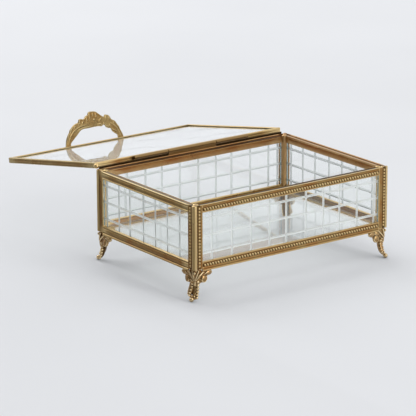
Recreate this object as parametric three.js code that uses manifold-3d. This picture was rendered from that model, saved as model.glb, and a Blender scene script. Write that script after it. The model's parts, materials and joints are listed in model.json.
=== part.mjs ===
// Glass trinket box for a vanity table, shown with its hinged lid folded right back.
//
// Four brass corner posts, beaded at the front, and eight brass channel rails hold four panes
// of cut glass and a glass floor. Four cast feet carry the box. The lid is a plain pane in a
// brass rim, hinged along the back, with a cast scroll handle on its front rim.
//
// Units are millimetres and +Z is up. The front of the box faces -Y.
// The origin is under the middle of the open box's bounding box, on the table.

import * as THREE from 'three';
import { mergeVertices } from 'three/addons/utils/BufferGeometryUtils.js';
import Module from 'manifold-3d';

const wasm = await Module();
wasm.setup();

// ---- driving dimensions ------------------------------------------------------------------

const BOX_LENGTH = 200;        // across the front, over the posts
const BOX_DEPTH = 139;         // front to back, over the posts
const RIM_HEIGHT = 79;         // table to the top of the rails
const POST_BOTTOM = 26;        // table to the lower end of the posts
const GAP = 0.3;               // clearance kept between neighbouring pieces

const SHEET = 1.1;             // brass sheet thickness of posts and rails
const FACE_INSET = 0.6;        // sheet faces lie this far inside the box's outer planes
const POST_LEG = 8.4;          // width of each post flange, from the corner
const NOSE_RADIUS = 2.2;       // round nose on the outside of each post
const ROD_RADIUS = 2.4;        // round rod on the inside of each post
const ROD_CENTRE = 4.3;        // its centre from both outer planes
const NOSE_RISE = 1.3;         // how far the nose stands above the rails, to carry the lid

const TOP_RAIL_HEIGHT = 6.5;
const BOTTOM_RAIL_TOP = 32;
const BOTTOM_RAIL_DROP = 2;    // the outer wall hangs this far below the post ends

const PANE = 3.0;              // thickness of the side panes and of the floor
const PANE_START = 7.0;        // side panes stop this far from the box's end planes
const GROOVE_WIDTH = 2.8;      // V-cut grooves on the outside of the side panes
const GROOVE_DEPTH = 0.8;
const CELL_LONG = 18.6;        // spacing of upright grooves on the long walls
const CELL_SHORT = 17.2;       // spacing of upright grooves on the short walls
const CELL_HEIGHT = 14.2;      // spacing of level grooves

const BEAD_PITCH = 2.65;
const BEAD_RELIEF = 0.8;
const BEAD_HEIGHT = 2.9;       // height of the bead rows on the rails
const BEAD_MARGIN = 0.9;       // plain edge left beside a bead row

const HINGE_BEHIND = 1.75;     // hinge axis behind the box's back plane
const HINGE_ABOVE = 3.1;       // hinge axis above the rails
const LID_DROOP = 10.5;        // degrees that the open lid hangs below level
const LID_LENGTH = 194.4;
const LID_SETBACK = 2.2;       // hinge axis to the lid's hinged edge
const LID_REACH = 139.5;       // lid's depth, hinged edge to free edge
const LID_HEIGHT = 4.8;        // height of the lid's brass rim
const LID_INNER = 1.5;         // hinge axis to the lid's inner face
const LID_LIP = 0.8;
const LID_LIP_WIDTH = 2.6;
const LID_WALL = 1.1;

const KNUCKLE_RADIUS = 1.6;
const PIN_RADIUS = 0.75;
const BORE_RADIUS = 1.05;
const MIDDLE_KNUCKLE = 50;     // length of the middle knuckle
const OUTER_KNUCKLE = 34.5;    // length of each lid knuckle
const PIN_BALL_RADIUS = 1.9;
const BOX_LEAF = 0.9;          // thickness of the middle knuckle's leaf
const STRIP = 0.6;             // thickness of the strips that close the gap under the lid
const STRIP_LOW = 5.6;         // hinge axis down to the strips' lower edge
const STRIP_HIGH = 1.9;        // hinge axis down to the strips' upper edge
const STRIP_END = 96;          // middle of the box to the strips' outer ends

const BRACKET_INSET = 1.2;     // foot bracket's faces inside the box's outer planes
const BRACKET_THICKNESS = 2.2;
const TOE = { x: -1.0, y: 2.4, z: 1.6, radius: 1.9 };  // ball toe, in its corner's frame

const HANDLE_THICKNESS = 2.4;
const HANDLE_OFFSET = -5.3;    // the handle sits a little left of the middle

// ---- materials ---------------------------------------------------------------------------

function brass(colour) {
  return new THREE.MeshStandardMaterial({ color: colour, roughness: 0.38, metalness: 1 });
}

function glass(colour) {
  return new THREE.MeshStandardMaterial({
    color: colour, roughness: 0.04, metalness: 0, transparent: true, opacity: 0.35,
  });
}

const FRAME_BRASS = 0x9c8350;
const CAST_BRASS = 0xb39a63;
const HINGE_BRASS = 0x7d6038;
const CUT_GLASS = 0xdde8e4;
const PLAIN_GLASS = 0xe8f0ee;

// ---- solids ------------------------------------------------------------------------------

function solid(geometry) {
  const bare = geometry.clone();
  bare.deleteAttribute('normal');
  bare.deleteAttribute('uv');
  const merged = mergeVertices(bare, 1e-4);
  return new wasm.Manifold(new wasm.Mesh({
    numProp: 3,
    vertProperties: new Float32Array(merged.attributes.position.array),
    triVerts: new Uint32Array(merged.index.array),
  }));
}

function geometryOf(manifold) {
  const mesh = manifold.getMesh();
  const geometry = new THREE.BufferGeometry();
  geometry.setAttribute('position', new THREE.BufferAttribute(mesh.vertProperties, 3));
  geometry.setIndex(new THREE.BufferAttribute(mesh.triVerts, 1));
  geometry.computeVertexNormals();
  return geometry;
}

function joined(geometries) {
  return geometries.map(solid).reduce((whole, piece) => whole.add(piece));
}

function block(x0, x1, y0, y1, z0, z1) {
  const geometry = new THREE.BoxGeometry(x1 - x0, y1 - y0, z1 - z0);
  return geometry.translate((x0 + x1) / 2, (y0 + y1) / 2, (z0 + z1) / 2);
}

// A shape drawn in (depth, height), run along +X from x0 to x1.
function runAlongX(shape, x0, x1) {
  const geometry = new THREE.ExtrudeGeometry(shape, { depth: x1 - x0, bevelEnabled: false });
  const turn = new THREE.Matrix4().makeBasis(
    new THREE.Vector3(0, 1, 0), new THREE.Vector3(0, 0, 1), new THREE.Vector3(1, 0, 0),
  );
  return geometry.applyMatrix4(turn).translate(x0, 0, 0);
}

// A shape drawn in (length, height), as a plate of the given thickness from y0 towards +Y.
function plate(shape, y0, thickness) {
  const options = { depth: thickness, bevelEnabled: false, curveSegments: 4 };
  const geometry = new THREE.ExtrudeGeometry(shape, options);
  return geometry.rotateX(Math.PI / 2).translate(0, y0 + thickness, 0);
}

function uprightCylinder(radius, x, y, z0, z1, sides) {
  const geometry = new THREE.CylinderGeometry(radius, radius, z1 - z0, sides);
  return geometry.rotateX(Math.PI / 2).translate(x, y, (z0 + z1) / 2);
}

function levelCylinder(radius, x0, x1, sides) {
  const geometry = new THREE.CylinderGeometry(radius, radius, x1 - x0, sides);
  return geometry.rotateZ(Math.PI / 2).translate((x0 + x1) / 2, 0, 0);
}

function piece(name, geometry, material) {
  const mesh = new THREE.Mesh(geometry, material);
  mesh.name = name;
  return mesh;
}

// ---- beaded strips -----------------------------------------------------------------------

// Outline of a row of low beads: a straight back and one flat-topped bump for each bead.
function beadRowShape(length) {
  const beads = Math.floor(length / BEAD_PITCH);
  const start = (length - beads * BEAD_PITCH) / 2;
  const shape = new THREE.Shape();
  shape.moveTo(start, SHEET / 2);
  for (let i = 0; i < beads; i += 1) {
    const left = start + i * BEAD_PITCH;
    shape.lineTo(left, -0.1 * BEAD_RELIEF);
    shape.lineTo(left + 0.3 * BEAD_PITCH, -BEAD_RELIEF);
    shape.lineTo(left + 0.7 * BEAD_PITCH, -BEAD_RELIEF);
  }
  shape.lineTo(start + beads * BEAD_PITCH, -0.1 * BEAD_RELIEF);
  shape.lineTo(start + beads * BEAD_PITCH, SHEET / 2);
  return shape;
}

// Beads along +X between x0 and x1, covering the heights z0 to z1 of a wall's outer face.
function levelBeads(x0, x1, z0, z1) {
  const row = new THREE.ExtrudeGeometry(beadRowShape(x1 - x0), { depth: z1 - z0, bevelEnabled: false });
  return row.translate(x0, FACE_INSET, z0);
}

// Beads up a post flange that faces -Y, covering the widths x0 to x1.
function uprightBeads(x0, x1, z0, z1) {
  const row = new THREE.ExtrudeGeometry(beadRowShape(z1 - z0), { depth: x1 - x0, bevelEnabled: false });
  const turn = new THREE.Matrix4().makeBasis(
    new THREE.Vector3(0, 0, 1), new THREE.Vector3(0, 1, 0), new THREE.Vector3(-1, 0, 0),
  );
  return row.applyMatrix4(turn).translate(x1, FACE_INSET, z0);
}

// The same shape reflected across the corner's diagonal, with its faces turned back outwards.
function acrossDiagonal(geometry) {
  const copy = geometry.clone().applyMatrix4(new THREE.Matrix4().makeBasis(
    new THREE.Vector3(0, 1, 0), new THREE.Vector3(1, 0, 0), new THREE.Vector3(0, 0, 1),
  ));
  const flat = copy.index ? copy.toNonIndexed() : copy;
  const points = flat.attributes.position;
  for (let i = 0; i < points.count; i += 3) {
    const held = [points.getX(i), points.getY(i), points.getZ(i)];
    points.setXYZ(i, points.getX(i + 1), points.getY(i + 1), points.getZ(i + 1));
    points.setXYZ(i + 1, ...held);
  }
  return flat;
}

// ---- corner frame: the corner is the origin, one wall runs along +X, the other along +Y ---

function postGeometry(beaded) {
  const face = FACE_INSET;
  const back = FACE_INSET + SHEET;
  const flanges = new THREE.Shape();
  flanges.moveTo(NOSE_RADIUS, face);
  flanges.lineTo(POST_LEG, face);
  flanges.lineTo(POST_LEG, back);
  flanges.lineTo(back, back);
  flanges.lineTo(back, POST_LEG);
  flanges.lineTo(face, POST_LEG);
  flanges.lineTo(face, NOSE_RADIUS);
  const height = RIM_HEIGHT - POST_BOTTOM;
  const angle = new THREE.ExtrudeGeometry(flanges, { depth: height, bevelEnabled: false });
  angle.translate(0, 0, POST_BOTTOM);
  const noseTop = RIM_HEIGHT + NOSE_RISE;
  const pieces = [
    angle,
    uprightCylinder(NOSE_RADIUS, NOSE_RADIUS, NOSE_RADIUS, POST_BOTTOM, noseTop, 16),
    uprightCylinder(ROD_RADIUS, ROD_CENTRE, ROD_CENTRE, POST_BOTTOM, RIM_HEIGHT, 16),
  ];
  if (beaded) {
    const beadStart = 2 * NOSE_RADIUS;
    const beadEnd = POST_LEG - BEAD_MARGIN;
    const beads = uprightBeads(beadStart, beadEnd, POST_BOTTOM + BEAD_MARGIN, RIM_HEIGHT - BEAD_MARGIN);
    pieces.push(beads, acrossDiagonal(beads));
  }
  return geometryOf(joined(pieces));
}

function topRailGeometry(length, beaded) {
  const face = FACE_INSET;
  const innerBack = FACE_INSET + 2 * SHEET + PANE + 2 * GAP;
  const end = POST_LEG + GAP;
  const low = RIM_HEIGHT - TOP_RAIL_HEIGHT;
  const pieces = [
    block(end, length - end, face, face + SHEET, low, RIM_HEIGHT),
    block(end, length - end, face, innerBack, RIM_HEIGHT - SHEET, RIM_HEIGHT),
    block(PANE_START, length - PANE_START, innerBack - SHEET, innerBack, low, RIM_HEIGHT),
  ];
  if (beaded) {
    pieces.push(levelBeads(end, length - end, RIM_HEIGHT - BEAD_MARGIN - BEAD_HEIGHT, RIM_HEIGHT - BEAD_MARGIN));
  }
  return geometryOf(joined(pieces));
}

function bottomRailGeometry(length, beaded) {
  const face = FACE_INSET;
  const innerBack = FACE_INSET + 2 * SHEET + PANE + 2 * GAP;
  const end = POST_LEG + GAP;
  const low = POST_BOTTOM - BOTTOM_RAIL_DROP;
  const webTop = POST_BOTTOM + SHEET;
  const pieces = [
    block(end, length - end, face, face + SHEET, low, BOTTOM_RAIL_TOP),
    block(end, length - end, face, POST_LEG, POST_BOTTOM, webTop),
    block(PANE_START, length - PANE_START, innerBack - SHEET, innerBack, POST_BOTTOM, BOTTOM_RAIL_TOP),
  ];
  if (beaded) {
    pieces.push(levelBeads(end, length - end, BOTTOM_RAIL_TOP - BEAD_MARGIN - BEAD_HEIGHT, BOTTOM_RAIL_TOP - BEAD_MARGIN));
  }
  return geometryOf(joined(pieces));
}

// ---- cut glass ---------------------------------------------------------------------------

function grooveShape() {
  const half = GROOVE_WIDTH / 2;
  const proud = 0.5;
  const halfAtProud = half * (1 + proud / GROOVE_DEPTH);
  const shape = new THREE.Shape();
  shape.moveTo(-halfAtProud, -proud);
  shape.lineTo(halfAtProud, -proud);
  shape.lineTo(0, GROOVE_DEPTH);
  return shape;
}

// A pane with a grid of V grooves cut into its outer face.
function cutPaneGeometry(length, uprights, cell) {
  const y0 = FACE_INSET + SHEET + GAP;
  const z0 = POST_BOTTOM + SHEET + GAP;
  const z1 = RIM_HEIGHT - SHEET - GAP;
  const over = 1;
  let pane = solid(block(PANE_START, length - PANE_START, y0, y0 + PANE, z0, z1));

  const upright = new THREE.ExtrudeGeometry(grooveShape(), { depth: z1 - z0 + 2 * over, bevelEnabled: false });
  for (let i = 0; i < uprights; i += 1) {
    const x = length / 2 + (i - (uprights - 1) / 2) * cell;
    pane = pane.subtract(solid(upright.clone().translate(x, y0, z0 - over)));
  }

  const levelTurn = new THREE.Matrix4().makeBasis(
    new THREE.Vector3(0, 0, -1), new THREE.Vector3(0, 1, 0), new THREE.Vector3(1, 0, 0),
  );
  const level = new THREE.ExtrudeGeometry(grooveShape(), { depth: length, bevelEnabled: false });
  level.applyMatrix4(levelTurn);
  const middle = (BOTTOM_RAIL_TOP + RIM_HEIGHT - TOP_RAIL_HEIGHT) / 2 + 0.6;
  for (const step of [-1, 0, 1]) {
    pane = pane.subtract(solid(level.clone().translate(0, y0, middle + step * CELL_HEIGHT)));
  }
  return geometryOf(pane);
}

// ---- cast feet ---------------------------------------------------------------------------

// Outline of one wing of the foot's bracket: (distance from the corner, height).
function wingShape() {
  const top = POST_BOTTOM - GAP;
  const railBottom = POST_BOTTOM - BOTTOM_RAIL_DROP - GAP;
  const shape = new THREE.Shape();
  shape.moveTo(BRACKET_INSET, top);
  shape.lineTo(BRACKET_INSET, 12.5);
  shape.lineTo(6.4, 12.5);
  shape.lineTo(7.6, 14.6);
  shape.absarc(10.6, 16.9, 3.0, -2.4, 0.9, false);
  shape.absarc(16.2, 21.2, 2.8, -2.2, 1.1, false);
  shape.lineTo(17.4, railBottom);
  shape.lineTo(POST_LEG, railBottom);
  shape.lineTo(POST_LEG, top);
  return shape;
}

// A round strand that runs down a curve, with level rings of changing radius.
function strand(points, radii, sides) {
  const curve = new THREE.CatmullRomCurve3(points.map((p) => new THREE.Vector3(...p)));
  const rings = 6;
  const geometry = new THREE.CylinderGeometry(1, 1, 1, sides, rings);
  const place = geometry.attributes.position;
  const centre = new THREE.Vector3();
  for (let i = 0; i < place.count; i += 1) {
    const along = 0.5 - place.getY(i);
    curve.getPoint(along, centre);
    const span = along * (radii.length - 1);
    const ring = Math.min(Math.floor(span), radii.length - 2);
    const radius = THREE.MathUtils.lerp(radii[ring], radii[ring + 1], span - ring);
    place.setXYZ(i, centre.x + place.getZ(i) * radius, centre.y + place.getX(i) * radius, centre.z);
  }
  return geometry;
}

function footGeometry() {
  const wing = plate(wingShape(), BRACKET_INSET, BRACKET_THICKNESS);
  const toe = new THREE.SphereGeometry(TOE.radius, 12, 8).rotateX(Math.PI / 2);
  toe.translate(TOE.x, TOE.y, TOE.z);
  const leafStrand = strand(
    [[2.8, 5.6, 16.5], [2.9, 6.2, 12.8], [1.7, 6.0, 9.0], [0.3, 5.6, 6.2], [-0.7, 4.9, 4.2]],
    [2.3, 2.0, 1.9, 1.6, 1.0], 8,
  );
  const beadStrand = strand(
    [[4.9, 2.3, 16], [4.7, 2.0, 12], [4.2, 1.6, 7.4], [3.2, 1.0, 2.6]],
    [2.2, 1.6, 1.5, 1.1], 8,
  );
  const webStrand = strand(
    [[3.6, 3.8, 17], [3.6, 4.1, 12], [2.5, 3.8, 8], [1.2, 3.4, 5], [-0.2, 2.9, 2.8]],
    [2.6, 2.1, 1.6, 1.4, 1.2], 8,
  );
  const whole = joined([wing, acrossDiagonal(wing), leafStrand, beadStrand, webStrand, toe]);
  const belowTable = solid(block(-20, 20, -20, 20, -10, 0));
  return geometryOf(whole.subtract(belowTable));
}

// ---- the box: four walls, each starting at its own corner ---------------------------------

const WALLS = [
  { wall: 'front', corner: 'front_left', x: -1, y: -1, length: BOX_LENGTH, uprights: 10, cell: CELL_LONG },
  { wall: 'right', corner: 'front_right', x: 1, y: -1, length: BOX_DEPTH, uprights: 7, cell: CELL_SHORT },
  { wall: 'back', corner: 'back_right', x: 1, y: 1, length: BOX_LENGTH, uprights: 10, cell: CELL_LONG },
  { wall: 'left', corner: 'back_left', x: -1, y: 1, length: BOX_DEPTH, uprights: 7, cell: CELL_SHORT },
];

function boxWall(item, index) {
  const beadedRail = item.wall === 'front';
  const beadedPost = item.corner.startsWith('front');
  const group = new THREE.Group();
  group.position.set(item.x * BOX_LENGTH / 2, item.y * BOX_DEPTH / 2, 0);
  group.rotation.z = index * Math.PI / 2;
  group.add(
    piece(`post_${item.corner}`, postGeometry(beadedPost), brass(FRAME_BRASS)),
    piece(`foot_${item.corner}`, footGeometry(), brass(CAST_BRASS)),
    piece(`top_rail_${item.wall}`, topRailGeometry(item.length, beadedRail), brass(FRAME_BRASS)),
    piece(`bottom_rail_${item.wall}`, bottomRailGeometry(item.length, beadedRail), brass(FRAME_BRASS)),
    piece(`glass_${item.wall}`, cutPaneGeometry(item.length, item.uprights, item.cell), glass(CUT_GLASS)),
  );
  return group;
}

function floorPane() {
  const edge = FACE_INSET + 2 * SHEET + PANE + 3 * GAP;
  const halfX = BOX_LENGTH / 2 - edge;
  const halfY = BOX_DEPTH / 2 - edge;
  const z0 = POST_BOTTOM + SHEET + GAP;
  return piece('glass_floor', block(-halfX, halfX, -halfY, halfY, z0, z0 + PANE), glass(PLAIN_GLASS));
}

// ---- hinge -------------------------------------------------------------------------------

// A tube around the hinge axis with a flat leaf beside it.
function knuckleGeometry(x0, x1, leaf) {
  const outer = solid(levelCylinder(KNUCKLE_RADIUS, x0, x1, 18)).add(solid(leaf));
  const bore = solid(levelCylinder(BORE_RADIUS, x0 - 1, x1 + 1, 14));
  return geometryOf(outer.subtract(bore));
}

function boxHinge() {
  const group = new THREE.Group();
  group.position.set(0, BOX_DEPTH / 2 + HINGE_BEHIND, RIM_HEIGHT + HINGE_ABOVE);
  const half = MIDDLE_KNUCKLE / 2;
  const leafFace = GAP - HINGE_BEHIND;
  const leafLow = -HINGE_ABOVE - 0.8 * TOP_RAIL_HEIGHT;
  const leaf = block(-half, half, leafFace, leafFace + BOX_LEAF, leafLow, 0);
  const stripStart = half + GAP;
  const stripBack = leafFace + STRIP;
  const leftStrip = block(-STRIP_END, -stripStart, leafFace, stripBack, -STRIP_LOW, -STRIP_HIGH);
  const rightStrip = block(stripStart, STRIP_END, leafFace, stripBack, -STRIP_LOW, -STRIP_HIGH);
  const pinHalf = half + GAP + OUTER_KNUCKLE;
  group.add(
    piece('hinge_knuckle_middle', knuckleGeometry(-half, half, leaf), brass(HINGE_BRASS)),
    piece('hinge_pin', levelCylinder(PIN_RADIUS, -pinHalf, pinHalf, 12), brass(HINGE_BRASS)),
    piece('hinge_strip_left', geometryOf(solid(leftStrip)), brass(HINGE_BRASS)),
    piece('hinge_strip_right', geometryOf(solid(rightStrip)), brass(HINGE_BRASS)),
  );
  return group;
}

// ---- lid: the hinge axis is the origin, +Y runs to the free edge, +Z is the inner side ----

// A rim strip with a channel for the pane, mitred at both ends, along +X, outer wall at y = 0.
function rimGeometry(length) {
  const low = LID_INNER - LID_HEIGHT;
  const section = new THREE.Shape();
  section.moveTo(0, low);
  section.lineTo(LID_LIP_WIDTH, low);
  section.lineTo(LID_LIP_WIDTH, low + LID_LIP);
  section.lineTo(LID_WALL, low + LID_LIP);
  section.lineTo(LID_WALL, LID_INNER - LID_LIP);
  section.lineTo(LID_LIP_WIDTH, LID_INNER - LID_LIP);
  section.lineTo(LID_LIP_WIDTH, LID_INNER);
  section.lineTo(0, LID_INNER);
  const geometry = runAlongX(section, -1, 1);
  const place = geometry.attributes.position;
  for (let i = 0; i < place.count; i += 1) {
    const reach = length / 2 - GAP / 2 - place.getY(i);
    place.setX(i, place.getX(i) * reach);
  }
  return geometryOf(solid(geometry));
}

function rimStrip(name, length, x, y, turn) {
  const strip = piece(name, rimGeometry(length), brass(FRAME_BRASS));
  strip.position.set(x, y, 0);
  strip.rotation.z = turn;
  return strip;
}

function lidPane() {
  const inset = LID_WALL + GAP;
  const half = LID_LENGTH / 2 - inset;
  const y0 = LID_SETBACK + inset;
  const y1 = LID_SETBACK + LID_REACH - inset;
  const z0 = LID_INNER - LID_HEIGHT + LID_LIP + GAP;
  const z1 = LID_INNER - LID_LIP - GAP;
  return piece('lid_glass', block(-half, half, y0, y1, z0, z1), glass(PLAIN_GLASS));
}

function lidKnuckle(name, side) {
  const near = MIDDLE_KNUCKLE / 2 + GAP;
  const x0 = side > 0 ? near : -near - OUTER_KNUCKLE;
  const x1 = x0 + OUTER_KNUCKLE;
  const low = LID_INNER - LID_HEIGHT + LID_LIP;
  const leaf = block(x0, x1, BORE_RADIUS, LID_SETBACK - GAP, low, LID_INNER - GAP);
  return piece(name, knuckleGeometry(x0, x1, leaf), brass(HINGE_BRASS));
}

// Outline of the scroll handle: (length, height above the rim's inner edge).
function handleShape() {
  const tab = -3.6;
  const shape = new THREE.Shape();
  shape.moveTo(-31.4, tab);
  shape.lineTo(-25.6, tab);
  shape.lineTo(-25.4, 1.6);
  shape.quadraticCurveTo(-19.5, 10.2, -12.4, 12.6);
  shape.lineTo(6.2, 12.9);
  shape.lineTo(8.8, 12.0);
  shape.lineTo(11.4, 14.6);
  shape.quadraticCurveTo(13.0, 9.6, 18.0, 8.9);
  shape.quadraticCurveTo(20.0, 5.2, 24.6, 2.2);
  shape.lineTo(25.0, tab);
  shape.lineTo(30.6, tab);
  shape.lineTo(30.9, 1.2);
  shape.quadraticCurveTo(27.2, 9.0, 23.8, 15.5);
  shape.quadraticCurveTo(21.2, 17.0, 19.6, 18.2);
  shape.quadraticCurveTo(17.6, 22.0, 13.2, 22.6);
  shape.lineTo(12.3, 20.4);
  shape.quadraticCurveTo(8.0, 23.0, 4.2, 26.8);
  shape.quadraticCurveTo(0.0, 27.8, -3.8, 27.2);
  shape.quadraticCurveTo(-5.2, 25.4, -5.0, 24.2);
  shape.quadraticCurveTo(-8.0, 24.4, -9.6, 21.6);
  shape.quadraticCurveTo(-12.4, 23.4, -14.6, 22.0);
  shape.quadraticCurveTo(-16.0, 20.6, -15.6, 18.7);
  shape.quadraticCurveTo(-20.2, 19.4, -22.4, 16.6);
  shape.quadraticCurveTo(-26.0, 14.6, -26.0, 12.0);
  shape.quadraticCurveTo(-29.6, 8.0, -31.4, 0.0);
  return shape;
}

function handle() {
  const geometry = plate(handleShape(), LID_SETBACK + LID_REACH + GAP, HANDLE_THICKNESS);
  geometry.translate(HANDLE_OFFSET, 0, LID_INNER);
  return piece('lid_handle', geometryOf(solid(geometry)), brass(CAST_BRASS));
}

// The ball on the hinge axis, at the lid's left end.
function endBall() {
  const ball = new THREE.SphereGeometry(PIN_BALL_RADIUS, 12, 8).translate(-LID_LENGTH / 2, 0, 0);
  return piece('hinge_end_ball', ball, brass(CAST_BRASS));
}

function lid() {
  const group = new THREE.Group();
  group.position.set(0, BOX_DEPTH / 2 + HINGE_BEHIND, RIM_HEIGHT + HINGE_ABOVE);
  group.rotation.x = THREE.MathUtils.degToRad(-LID_DROOP);
  const freeEdge = LID_SETBACK + LID_REACH;
  const middle = LID_SETBACK + LID_REACH / 2;
  const side = LID_LENGTH / 2;
  group.add(
    rimStrip('lid_rim_hinge_side', LID_LENGTH, 0, LID_SETBACK, 0),
    rimStrip('lid_rim_right', LID_REACH, side, middle, Math.PI / 2),
    rimStrip('lid_rim_handle_side', LID_LENGTH, 0, freeEdge, Math.PI),
    rimStrip('lid_rim_left', LID_REACH, -side, middle, -Math.PI / 2),
    lidPane(),
    lidKnuckle('lid_knuckle_left', -1),
    lidKnuckle('lid_knuckle_right', 1),
    endBall(),
    handle(),
  );
  return group;
}

// ---- assembly ----------------------------------------------------------------------------

const trinketBox = new THREE.Group();
WALLS.forEach((item, index) => trinketBox.add(boxWall(item, index)));
trinketBox.add(floorPane(), boxHinge(), lid());

trinketBox.updateMatrixWorld(true);
const extent = new THREE.Box3().setFromObject(trinketBox, true);
const centre = extent.getCenter(new THREE.Vector3());
trinketBox.position.set(-centre.x, -centre.y, -extent.min.z);

export default trinketBox;
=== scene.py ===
"""Looks for a brass and cut-glass trinket box, shown with its hinged lid folded right back.

Every piece is built in millimetres in a local frame and then placed in the row frame:
- a corner frame has its origin at a corner of the box on the table, one wall runs along +X
  and the inside of the box is towards +Y; a corner frame also serves the wall that starts there;
- the lid frame has its origin on the hinge axis, +Y runs to the free edge, +Z is the inner side.
"""

import json
import math

import bmesh
import bpy
import numpy as np
from mathutils import Matrix, Vector


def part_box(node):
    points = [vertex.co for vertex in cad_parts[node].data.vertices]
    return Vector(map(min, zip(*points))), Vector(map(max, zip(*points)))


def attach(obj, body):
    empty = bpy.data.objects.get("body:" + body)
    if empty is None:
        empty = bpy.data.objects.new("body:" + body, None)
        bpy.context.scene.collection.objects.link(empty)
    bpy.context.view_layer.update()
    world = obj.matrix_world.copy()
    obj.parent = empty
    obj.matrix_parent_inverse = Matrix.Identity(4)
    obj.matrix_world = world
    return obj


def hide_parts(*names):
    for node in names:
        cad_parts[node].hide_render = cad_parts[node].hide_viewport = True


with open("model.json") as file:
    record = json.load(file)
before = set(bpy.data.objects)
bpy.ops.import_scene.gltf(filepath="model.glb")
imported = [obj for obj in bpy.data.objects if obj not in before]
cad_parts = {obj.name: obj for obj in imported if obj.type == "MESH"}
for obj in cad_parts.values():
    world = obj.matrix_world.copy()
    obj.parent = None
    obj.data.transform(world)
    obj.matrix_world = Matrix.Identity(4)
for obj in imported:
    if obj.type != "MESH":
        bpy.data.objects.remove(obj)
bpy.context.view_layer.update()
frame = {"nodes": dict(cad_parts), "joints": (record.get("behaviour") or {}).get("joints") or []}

# ---- driving dimensions, in millimetres; a few differ a little from the CAD source ----

MM = 0.001
BOX_LENGTH = 200.0
BOX_DEPTH = 139.0
RIM_HEIGHT = 79.0
POST_BOTTOM = 26.0
GAP = 0.3

SHEET = 1.1
FACE_INSET = 0.6
POST_LEG = 9.0  # width of each post flange, from the corner
NOSE_RADIUS = 2.2
SLIM_NOSE_RADIUS = 1.3  # for the front right post
NOSE_RISE = 0.4  # how far the noses stand above the rails
ROD_RADIUS = 2.45
ROD_CENTRE = 6.1  # inner rod, from both outer planes
CORE_RADIUS = 1.9  # fills the post between its nose and its inner rod
CORE_CENTRE = 3.5
TOP_RAIL_HEIGHT = 6.5
BOTTOM_RAIL_TOP = 32.0
BOTTOM_RAIL_DROP = 2.0
FAR_LEG_RISE = 3.0  # bottom rails' inner legs, above BOTTOM_RAIL_TOP
NEAR_LEG_RISE = -1.0

PANE = 3.0
PANE_START = 8.5
GROOVE_HALF_WIDTH = 0.95
GROOVE_DEPTH = 0.42

BEAD_PITCH = 2.65
BEAD_SLANT = 0.35  # sideways lean of the beads on the rails
BEAD_HALF_LENGTH = 1.12

LID_DROOP = 10.5
LID_LENGTH = 194.4
LID_SETBACK = 2.2
LID_REACH = 139.5
LID_HEIGHT = 4.8
LID_INNER = 1.5
LID_LIP = 0.8
LID_LIP_WIDTH = 2.6
LID_WALL = 1.1

HINGE_BEHIND = 1.75
HINGE_ABOVE = 3.1
KNUCKLE_RADIUS = 1.6
BORE_RADIUS = 1.05
MIDDLE_KNUCKLE = 50.0
OUTER_KNUCKLE = 34.5
PIN_BALL_RADIUS = 2.2
PIN_BALL_OUT = 0.8  # its centre past the lid's end
PIN_BALL_DROP = 1.0  # and below the hinge axis
BOX_LEAF = 0.9
STRIP = 0.6
STRIP_LOW = 5.6
STRIP_HIGH = 1.9
STRIP_END = 96.0

BRACKET_INSET = 1.2
TOE_RADIUS = 1.9

HANDLE_OFFSET = -5.3
HANDLE_THICKNESS = 2.4

WALLS = ("front", "right", "back", "left")
CORNERS = (
    ("front_left", -1, -1),
    ("front_right", 1, -1),
    ("back_right", 1, 1),
    ("back_left", -1, 1),
)
WALL_LENGTHS = (BOX_LENGTH, BOX_DEPTH, BOX_LENGTH, BOX_DEPTH)

# Hand-cut grooves, so their spacing is a little uneven: each wall's uprights from its own corner.
UPRIGHT_GROOVES = {
    "front": (18.9, 39.1, 58.1, 76.7, 93.9, 114.2, 132.5, 149.5, 168.2, 186.2),
    "right": (17.6, 37.6, 56.4, 73.7, 92.9, 109.6, 126.0),
    "back": (11.6, 21.5, 41.3, 61.6, 78.3, 96.9, 116.3, 135.0, 151.8, 170.7, 189.0),
    "left": (13.9, 31.4, 47.2, 66.4, 83.4, 100.1, 117.2),
}
LEVEL_GROOVES = (38.6, 53.1, 67.2)

# ---- frames ----


def box_centre():
    low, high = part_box("glass_floor")
    return (low + high) / 2


CENTRE = box_centre()


def corner_frame(index):
    _, side_x, side_y = CORNERS[index]
    x = CENTRE.x + side_x * BOX_LENGTH / 2 * MM
    y = CENTRE.y + side_y * BOX_DEPTH / 2 * MM
    return Matrix.Translation((x, y, 0)) @ Matrix.Rotation(index * math.pi / 2, 4, "Z")


def hinge_frame():
    return Matrix.Translation(frame["joints"][0]["pos_m"])


def lid_frame():
    return hinge_frame() @ Matrix.Rotation(math.radians(-LID_DROOP), 4, "X")


# ---- mesh helpers ----


def raw_object(name, points, faces):
    mesh = bpy.data.meshes.new(name)
    mesh.from_pydata([tuple(p) for p in np.asarray(points, float)], [], faces)
    mesh.update()
    thing = bpy.data.objects.new(name, mesh)
    bpy.context.scene.collection.objects.link(thing)
    return thing


def applied(thing):
    """Replaces the object's mesh with what its modifiers make of it."""
    bpy.context.view_layer.update()
    graph = bpy.context.evaluated_depsgraph_get()
    mesh = bpy.data.meshes.new_from_object(thing.evaluated_get(graph))
    thing.modifiers.clear()
    old = thing.data
    thing.data = mesh
    bpy.data.meshes.remove(old)
    return thing


def joined(name, shells):
    """One object from closed shells, without what lies inside where they overlap."""
    whole = raw_object(name, *shells[0])
    for shell in shells[1:]:
        extra = raw_object("extra", *shell)
        modifier = whole.modifiers.new("union", "BOOLEAN")
        modifier.operation = "UNION"
        modifier.solver = "MANIFOLD"
        modifier.object = extra
        applied(whole)
        bpy.data.objects.remove(extra)
    return whole


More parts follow.
